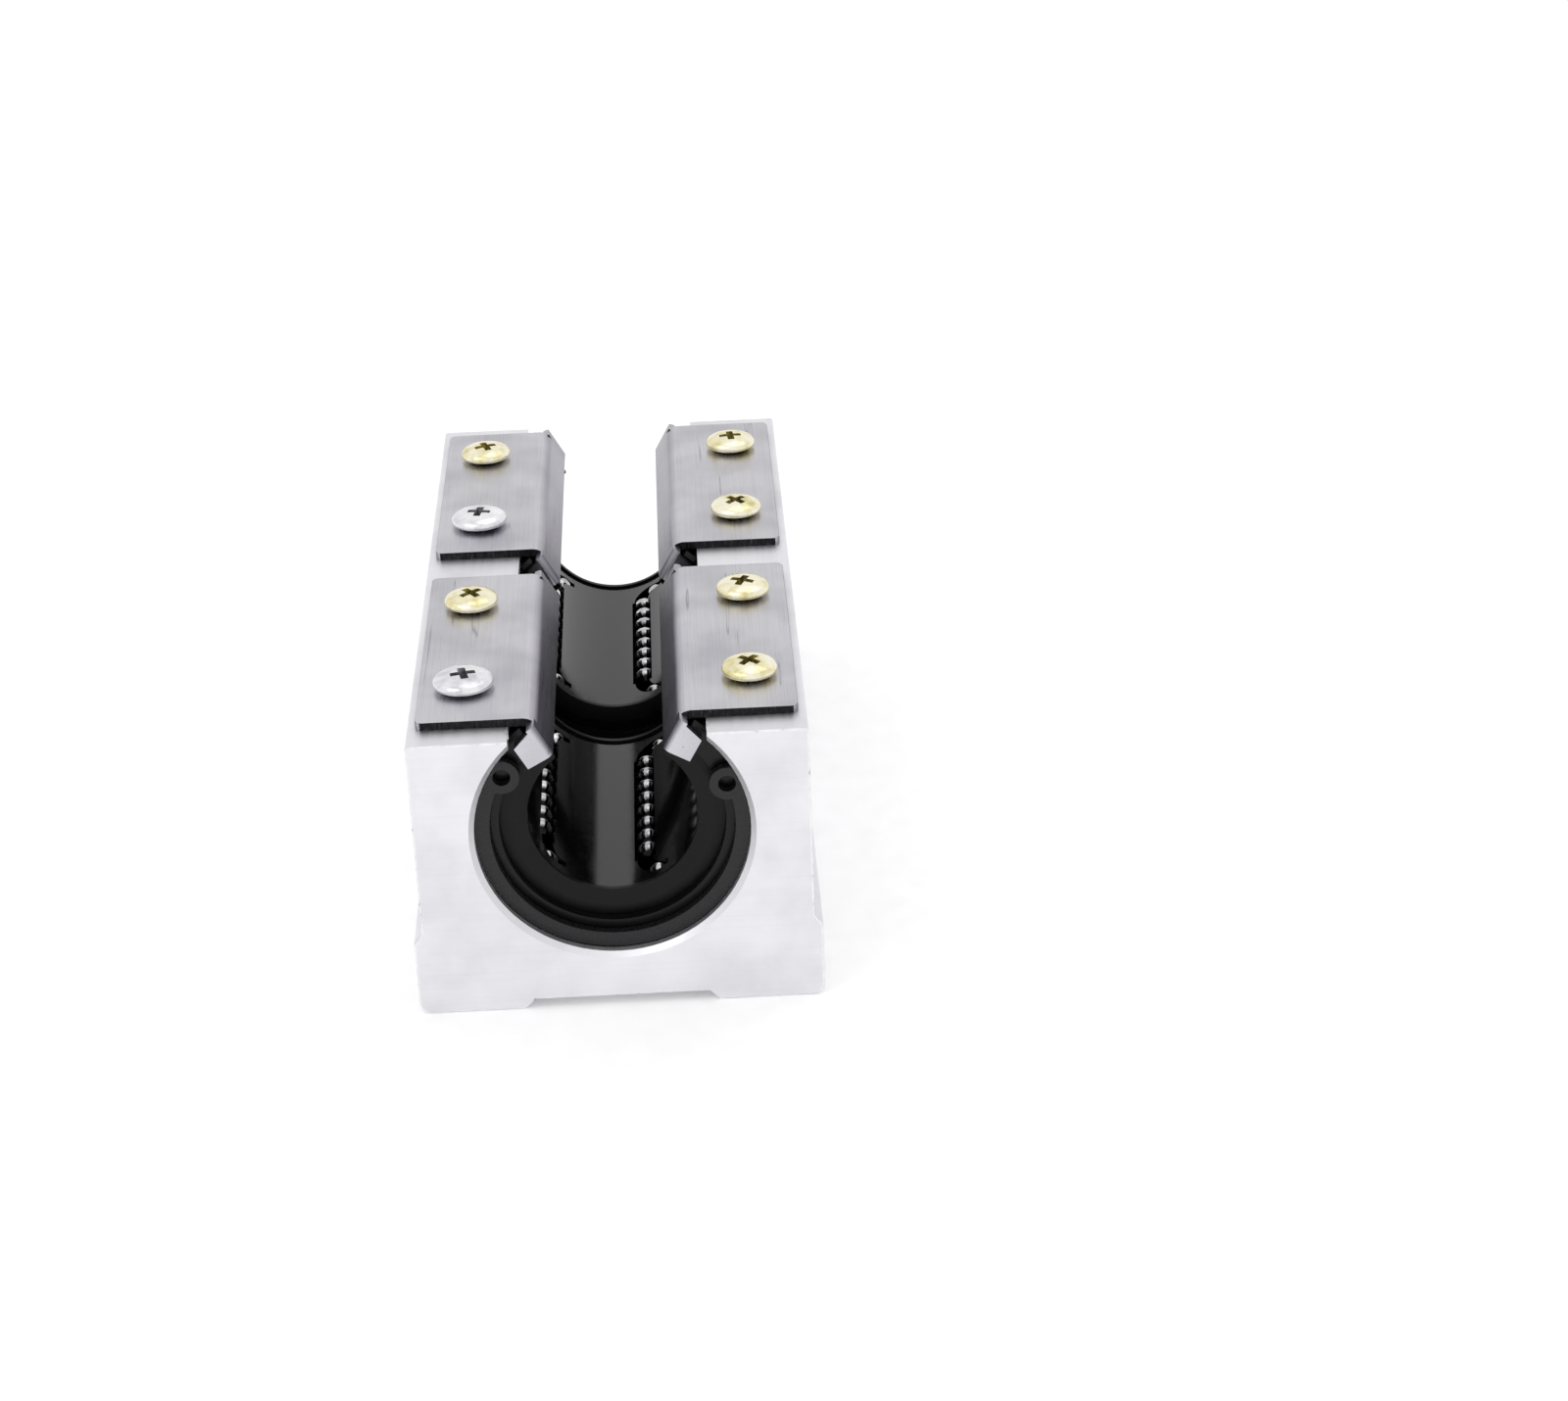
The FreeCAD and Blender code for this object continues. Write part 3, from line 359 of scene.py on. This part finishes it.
def polished_balls():
    """Lapped bearing balls: mirror bright at the waist, with painted shade darkening them where
    they touch.
    """
    material, tree, shader, place = new_material("lapped_chrome_steel_balls", Metallic=1.0)
    oil = add(tree, "ShaderNodeTexNoise", {
        "Vector": place, "Scale": per(1.4), "Detail": 2.0}).outputs["Fac"]
    tone = add(tree, "ShaderNodeValToRGB", {"Fac": oil}, stops=(
        (0.35, "#A5A4A6"), (0.65, "#D6D5D8")))
    touch = add(tree, "ShaderNodeAttribute", attribute_name="nearness").outputs["Fac"]
    # painted shade: the balls darken towards the points where they touch their neighbours
    contact_shade = add(tree, "ShaderNodeValToRGB", {"Fac": touch}, stops=(
        (0.42, "#FFFFFF"), (0.68, "#2A292C")))
    colour = add(tree, "ShaderNodeMix", {"Factor": 1.0, 6: tone.outputs[0],
                                         7: contact_shade.outputs[0]},
                 data_type="RGBA", blend_type="MULTIPLY")
    tree.links.new(colour.outputs[2], shader.inputs["Base Color"])
    rough = add(tree, "ShaderNodeMapRange", {
        "Value": oil, "From Min": 0.35, "From Max": 0.65, "To Min": 0.04, "To Max": 0.1})
    tree.links.new(rough.outputs[0], shader.inputs["Roughness"])
    return material


def paper_sweep():
    """White background paper: matt, lifted so that it stays white right up to the block."""
    material, tree, shader, place = new_material(
        "matt_white_paper", Roughness=0.95, Emission_Strength=0.12,
        Emission_Color=(1.0, 1.0, 1.0, 1.0))
    fibre = add(tree, "ShaderNodeTexNoise", {
        "Vector": place, "Scale": per(3), "Detail": 3.0}).outputs["Fac"]
    tone = add(tree, "ShaderNodeValToRGB", {"Fac": fibre}, stops=(
        (0.3, "#F6F6F6"), (0.7, "#FCFCFC")))
    tree.links.new(tone.outputs[0], shader.inputs["Base Color"])
    return material


aluminium = extruded_aluminium()
aluminium_edge = broken_edge()
stainless = brushed_stainless()
shaded_stainless_edge = shaded_sheared_edge()
yellow_zinc = plated_screw("yellow_passivated_zinc_screw", (
    (0.3, "#CFC684"), (0.42, "#E9E0B4"), (0.55, "#F6F0D6"), (0.75, "#FBF8EC")))
bright_zinc = plated_screw("bright_zinc_screw", (
    (0.32, "#C9C9CE"), (0.5, "#E6E6EA"), (0.7, "#F6F6F8")))
shaded_yellow_recess = oily_shaded_recess("oily_shaded_yellow_zinc_recess", (
    (0.3, "#2B2612"), (0.5, "#6E6226"), (0.75, "#A8994A")))
shaded_bright_recess = oily_shaded_recess("oily_shaded_bright_zinc_recess", (
    (0.3, "#1E1E20"), (0.5, "#55555A"), (0.75, "#8E8E94")))
acetal = moulded_resin()
rubber = nitrile_rubber()
spring_steel = phosphated_spring_steel()
shade_black_bearing_steel = shade_black_steel()
ball_steel = polished_balls()


# ---------------------------------------------------------------- modelling helpers

# faces that meet at less than this look like one round surface
SMOOTH_UP_TO = math.radians(32)
# points of a CAD mesh nearer than this are one point
SAME_POINT = 0.002 * MM
# CAD triangles within this angle are parts of one flat face
SAME_FLAT = math.radians(0.4)


def only(*things):
    """Selects these objects and nothing else; the first one is the active one."""
    bpy.ops.object.select_all(action="DESELECT")
    for thing in things:
        thing.select_set(True)
    bpy.context.view_layer.objects.active = things[0]


def edit(*steps):
    """Runs the steps in edit mode on the active object, all of it selected at first."""
    bpy.ops.object.mode_set(mode="EDIT")
    bpy.ops.mesh.select_mode(type="VERT")
    bpy.ops.mesh.select_all(action="SELECT")
    for step in steps:
        step()
    bpy.ops.object.mode_set(mode="OBJECT")


def pick(piece, kind, wanted):
    """Selects, in edit mode, the edges or faces that the test picks out."""
    bpy.ops.object.mode_set(mode="EDIT")
    bpy.ops.mesh.select_mode(type=kind)
    bpy.ops.mesh.select_all(action="DESELECT")
    bpy.ops.object.mode_set(mode="OBJECT")
    for part in (piece.data.edges if kind == "EDGE" else piece.data.polygons):
        part.select = wanted(part)
    bpy.ops.object.mode_set(mode="EDIT")


def ease(piece, width, sharper_than, edge_slot=-1, leave=lambda place: False):
    """Rounds every edge sharper than this many degrees, but for those at the places to leave."""
    only(piece)
    edit(lambda: bpy.ops.mesh.select_mode(type="EDGE"),
         lambda: bpy.ops.mesh.select_all(action="DESELECT"),
         lambda: bpy.ops.mesh.edges_select_sharp(sharpness=math.radians(sharper_than)))
    sharp = set()
    for edge in piece.data.edges:
        start, end = (piece.data.vertices[corner].co for corner in edge.vertices)
        if edge.select and not leave((start + end) / 2):
            sharp.add(edge.index)
    pick(piece, "EDGE", lambda edge: edge.index in sharp)
    bpy.ops.mesh.bevel(offset=width, segments=2, clamp_overlap=False, material=edge_slot)
    bpy.ops.object.mode_set(mode="OBJECT")
    bpy.ops.object.shade_smooth_by_angle(angle=SMOOTH_UP_TO)
    # the wide flats keep their own normals, so only the rounded edges look round
    flats = piece.modifiers.new("flats", "WEIGHTED_NORMAL")
    flats.keep_sharp = True
    bpy.ops.object.modifier_apply(modifier=flats.name)


def merged_copy(node, name):
    """A copy of a CAD node's mesh, its loose triangles joined into whole faces."""
    piece = bpy.data.objects.new(name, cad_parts[node].data.copy())
    bpy.context.scene.collection.objects.link(piece)
    piece.data.materials.clear()
    only(piece)
    bpy.ops.mesh.customdata_custom_splitnormals_clear()
    edit(lambda: bpy.ops.mesh.remove_doubles(threshold=SAME_POINT),
         lambda: bpy.ops.mesh.dissolve_limited(angle_limit=SAME_FLAT))
    return piece


def settle(piece, body, slot, *nodes):
    """The piece rides on a body and stands for CAD nodes, which it hides; the slot is not used."""
    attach(piece, body)
    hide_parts(*nodes)


# ---------------------------------------------------------------- housing

# the lips along the slot are thinner than the bevel: inside this reach and above this height
LIP_REACH = 12 * MM
LIP_FLOOR = 34 * MM


def make_block():
    block = merged_copy("housing", "extruded_block")
    block.data.materials.append(aluminium)
    block.data.materials.append(aluminium_edge)
    ease(block, 0.22 * MM, sharper_than=50, edge_slot=1,
         leave=lambda place: abs(place.x) < LIP_REACH and place.z > LIP_FLOOR)
    settle(block, "block", "housing", "housing")


# ---------------------------------------------------------------- retaining plates

# from a plate's middle to just past the ends of its flat sheet; the ears reach further
SHEET_END = 20.2 * MM
# the ears grow from the flank within this distance of the block's middle, out of a notch
EAR_ROOT = 12.4 * MM
EAR_NOTCH = 0.6 * MM


def make_plate(bushing, side):
    node = "%s_%s_plate" % (bushing, side)
    low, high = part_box(node)
    middle_y = (low[1] + high[1]) / 2
    outer_x = low[0] if side == "left" else high[0]
    plate = merged_copy(node, "%s_%s_retaining_plate" % (bushing, side))
    plate.data.materials.append(stainless)
    plate.data.materials.append(shaded_stainless_edge)
    # the cut ends and the outer side take the dark edge finish, partly a painted shadow of the gap
    # under the sheet
    for face in plate.data.polygons:
        is_end = abs(face.normal.y) > 0.9 and abs(face.center.y - middle_y) < SHEET_END
        is_side = abs(face.normal.x) > 0.9 and abs(face.center.x - outer_x) < 0.1 * MM
        if is_end or is_side:
            face.material_index = 1
    ease(plate, 0.1 * MM, sharper_than=40, leave=lambda place: (
        abs(place.x) < EAR_ROOT and abs(place.y - middle_y) > SHEET_END - EAR_NOTCH))
    settle(plate, "block", "plate", node)


# ---------------------------------------------------------------- plate screws

# millimetres
HEAD_RADIUS = {"yellow": 3.3, "silver": 3.6}
HEAD_HEIGHT = 1.9
# the pan head's outline: share of the radius, and millimetres above the seat
HEAD_OUTLINE = ((0.66, 0), (0.87, 0.3), (0.96, 0.46), (0.995, 0.58), (1, 0.7), (1, 0.86),
                (0.98, 1.06), (0.93, 1.28), (0.85, 1.47), (0.72, 1.65), (0.55, 1.79),
                (0.36, 1.87), (0.165, 1.895), (0, HEAD_HEIGHT))
TIP_RADIUS = 1.5
TIP_LENGTH = 0.4
SHANK_RADIUS = 2.0
SHANK_LENGTH = 6.0
THREAD_PITCH = 0.7
THREAD_DEPTH = 0.35
# the thread stops short of the head; between them the plain neck
THREAD_END = 0.9
NECK_RADIUS = 1.8
NECK_LENGTH = 0.6
RECESS_WIDTH = 1.1
RECESS_REACH = 1.85
RECESS_DEPTH = 1.45
# heights above the seat between which the head's inner faces are the recess's own
RECESS_FLOOR, RECESS_RIM = 0.2, 1.7


def screw_profile(head_radius):
    """Radius and height of the screw's outline, from its tip up to the crown of its head."""
    outline = [(0, -SHANK_LENGTH), (TIP_RADIUS, -SHANK_LENGTH)]
    height = -SHANK_LENGTH + TIP_LENGTH
    while height < -THREAD_END:
        outline += [(SHANK_RADIUS - THREAD_DEPTH, height),
                    (SHANK_RADIUS, height + THREAD_PITCH / 2)]
        height += THREAD_PITCH
    outline += [(NECK_RADIUS, -NECK_LENGTH), (NECK_RADIUS, 0)]
    outline += [(share * head_radius, height) for share, height in HEAD_OUTLINE]
    return [(radius * MM, height * MM) for radius, height in outline]


def turned_blank(head_radius):
    """The screw's outline drawn point by point, then spun round its own axis."""
    outline = screw_profile(head_radius)
    bpy.ops.object.select_all(action="DESELECT")
    bpy.ops.mesh.primitive_plane_add(size=1 * MM, location=(0, 0, outline[0][1]))
    blank = bpy.context.object
    blank.name = "screw_blank"

    def draw():
        bpy.ops.mesh.merge(type="CENTER")
        for (radius, height), (past_radius, past_height) in zip(outline[1:], outline):
            step = (radius - past_radius, 0, height - past_height)
            bpy.ops.mesh.extrude_region_move(TRANSFORM_OT_translate={"value": step})
        bpy.ops.mesh.select_all(action="SELECT")
        bpy.ops.mesh.spin(steps=40, angle=math.tau, center=(0, 0, 0), axis=(0, 0, 1))
        bpy.ops.mesh.select_all(action="SELECT")
        bpy.ops.mesh.remove_doubles(threshold=0.003 * MM)
        bpy.ops.mesh.normals_make_consistent(inside=False)

    edit(draw)
    bpy.ops.object.transform_apply(location=True, rotation=False, scale=False)
    return blank


def cross_punch():
    """The tapered cross that the header's punch presses into the screw."""
    half = RECESS_WIDTH / 2 * MM
    depth = RECESS_DEPTH * MM
    # so much of the punch stands above the head that the cut is clean
    above = 0.6 * MM
    bpy.ops.object.select_all(action="DESELECT")
    bpy.ops.mesh.primitive_cube_add(
        size=1, scale=(half * 2, half * 2, depth + above),
        location=(0, 0, HEAD_HEIGHT * MM + (above - depth) / 2))
    punch = bpy.context.object
    punch.name = "cross_punch"
    bpy.ops.object.transform_apply(location=True, rotation=True, scale=True)
    reach = RECESS_REACH * MM - half
    for out in (Vector((1, 0, 0)), Vector((-1, 0, 0)), Vector((0, 1, 0)), Vector((0, -1, 0))):
        sideways = Vector((out.y, out.x, 0))
        pick(punch, "FACE", lambda face: face.normal.dot(out) > 0.9
             and abs(face.center.dot(sideways)) < half / 2)
        bpy.ops.mesh.extrude_region_move(TRANSFORM_OT_translate={"value": out * reach})
        bpy.ops.object.mode_set(mode="OBJECT")
    # the floor draws in, so the four wings slope down towards the middle
    pick(punch, "FACE", lambda face: face.normal.z < -0.9)
    bpy.ops.transform.resize(value=(0.4, 0.4, 1), center_override=(0, 0, 0))
    bpy.ops.object.mode_set(mode="OBJECT")
    return punch


def make_screw_model(head_radius):
    blank, punch = turned_blank(head_radius), cross_punch()
    press = blank.modifiers.new("recess", "BOOLEAN")
    press.operation, press.solver, press.object = "DIFFERENCE", "EXACT", punch
    only(blank)
    bpy.ops.object.modifier_apply(modifier=press.name)
    bpy.data.objects.remove(punch)
    blank.data.materials.clear()
    blank.data.materials.append(None)
    blank.data.materials.append(None)
    ease(blank, 0.05 * MM, sharper_than=45)
    # the recess faces take the darker finish: oil, and painted shade in the hollow
    for face in blank.data.polygons:
        near_axis = math.hypot(face.center.x, face.center.y) < (RECESS_REACH + 0.05) * MM
        in_recess = near_axis and RECESS_FLOOR * MM < face.center.z < RECESS_RIM * MM
        face.material_index = int(in_recess)
    return blank


SCREW_FINISHES = {"yellow": (yellow_zinc, shaded_yellow_recess), "silver": (bright_zinc, shaded_bright_recess)}
# how far each screw was turned home, in degrees
SCREW_TURNS = {
    ("front", "left", 1): 12, ("front", "left", 2): 38, ("front", "right", 1): 50,
    ("front", "right", 2): 66, ("rear", "left", 1): 80, ("rear", "left", 2): 20,
    ("rear", "right", 1): 42, ("rear", "right", 2): 5,
}


def make_screws():
    models = {finish: make_screw_model(radius) for finish, radius in HEAD_RADIUS.items()}
    for (bushing, side, number), turn in SCREW_TURNS.items():
        node = "%s_%s_screw_%d" % (bushing, side, number)
        low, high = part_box(node)
        seat = Vector(((low[0] + high[0]) / 2, (low[1] + high[1]) / 2,
                       high[2] - HEAD_HEIGHT * MM))
        finish = "silver" if (side, number) == ("left", 1) else "yellow"
        piece = bpy.data.objects.new("%s_%s_pan_screw_%d" % (bushing, side, number),
                                     models[finish].data.copy())
        bpy.context.scene.collection.objects.link(piece)
        piece.data.transform(Matrix.Translation(seat)
                             @ Matrix.Rotation(math.radians(turn), 4, "Z"))
        piece.data.materials[0], piece.data.materials[1] = SCREW_FINISHES[finish]
        settle(piece, "block", finish + "_screw", node)
    for model in models.values():
        bpy.data.objects.remove(model)


# ---------------------------------------------------------------- retaining rings

def make_ring(end):
    node = end + "_retaining_ring"
    ring = merged_copy(node, end + "_circlip")
    ring.data.materials.append(spring_steel)
    ease(ring, 0.12 * MM, sharper_than=40)
    settle(ring, "block", "ring", node)


# ---------------------------------------------------------------- balls

BALLS_IN_A_ROW = 8


def make_ball_model(radius):
    """A cube, divided and blown up into a ball, that knows how near its neighbours it is."""
    bpy.ops.object.select_all(action="DESELECT")
    bpy.ops.mesh.primitive_cube_add(size=radius * 2, location=(0, 0, 0))
    ball = bpy.context.object
    edit(lambda: bpy.ops.mesh.subdivide(number_cuts=3),
         lambda: bpy.ops.transform.tosphere(value=1))
    widest = max(vertex.co.length for vertex in ball.data.vertices)
    ball.data.transform(Matrix.Scale(radius / widest, 4))
    bpy.ops.object.shade_smooth()
    # the nearness drives the painted shade where the balls touch
    nearness = ball.data.attributes.new("nearness", "FLOAT", "POINT")
    for vertex, share in zip(ball.data.vertices, nearness.data):
        share.value = abs(vertex.co.y) / radius
    return ball


def make_ball_row(model, radius, bushing, track, number):
    """Copies of one ball in a line along the row's box, joined to one piece."""
    node = "%s_%s_balls_%d" % (bushing, track, number)
    low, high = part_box(node)
    first, last = low[1] + radius, high[1] - radius
    balls = []
    for place in range(BALLS_IN_A_ROW):
        ball = bpy.data.objects.new("ball", model.data.copy())
        bpy.context.scene.collection.objects.link(ball)
        y = first + (last - first) * place / (BALLS_IN_A_ROW - 1)
        ball.data.transform(Matrix.Translation(
            ((low[0] + high[0]) / 2, y, (low[2] + high[2]) / 2)))
        balls.append(ball)
    only(*balls)
    bpy.ops.object.join()
    row = balls[0]
    row.name = "%s_%s_ball_row_%d" % (bushing, track, number)
    row.data.materials.clear()
    row.data.materials.append(ball_steel)
    settle(row, "%s_%s_row_%d" % (bushing, track, number), "balls", node)


def make_ball_rows():
    low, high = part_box("front_load_balls_1")
    radius = (high[0] - low[0]) / 2
    model = make_ball_model(radius)
    for bushing in BUSHINGS:
        for number in ROWS:
            for track in ("load", "return"):
                make_ball_row(model, radius, bushing, track, number)
    bpy.data.objects.remove(model)


# ---------------------------------------------------------------- CAD pieces that stay

def finish_cad_nodes():
    """The bushings' own parts keep their CAD shape and take the finish of the real ones; the
    sleeve's near-black tone is painted shade.
    """
    finishes = {}
    for bushing in BUSHINGS:
        finishes[bushing + "_sleeve"] = shade_black_bearing_steel
        finishes[bushing + "_cage"] = acetal
        finishes[bushing + "_outer_seal"] = rubber
        finishes[bushing + "_inner_seal"] = rubber
        finishes[bushing + "_turn_balls"] = ball_steel
    for node, material in finishes.items():
        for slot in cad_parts[node].material_slots:
            slot.material = material


# ---------------------------------------------------------------- studio

def make_studio():
    world = bpy.data.worlds.new("studio")
    bpy.context.scene.world = world
    world.use_nodes = True
    sky = world.node_tree.nodes["Background"]
    sky.inputs["Color"].default_value = (1.0, 1.0, 1.0, 1.0)
    sky.inputs["Strength"].default_value = 0.95

    bpy.ops.object.select_all(action="DESELECT")
    bpy.ops.mesh.primitive_plane_add(size=6, location=(0, 0, -0.02 * MM))
    floor = bpy.context.object
    floor.name = "paper_floor"
    floor.data.materials.append(paper_sweep())

    for name, place, size, power in (
            ("key_softbox", (-0.45, -0.35, 0.8), 0.5, 1.0),
            ("top_softbox", (0.2, 0.25, 0.9), 0.6, 0.6)):
        data = bpy.data.lights.new(name, "AREA")
        data.shape, data.size, data.energy = "SQUARE", size, power
        lamp = bpy.data.objects.new(name, data)
        bpy.context.scene.collection.objects.link(lamp)
        aim = Vector((0, 0, SHAFT_Z)) - Vector(place)
        lamp.matrix_world = (Matrix.Translation(place)
                             @ aim.to_track_quat("-Z", "Y").to_matrix().to_4x4())
    bpy.context.scene.view_settings.view_transform = "Standard"


make_camera()
make_block()
for bushing_name in BUSHINGS:
    for side_name in SIDES:
        make_plate(bushing_name, side_name)
    make_ring(bushing_name)
make_screws()
make_ball_rows()
finish_cad_nodes()
make_studio()

bpy.context.view_layer.update()
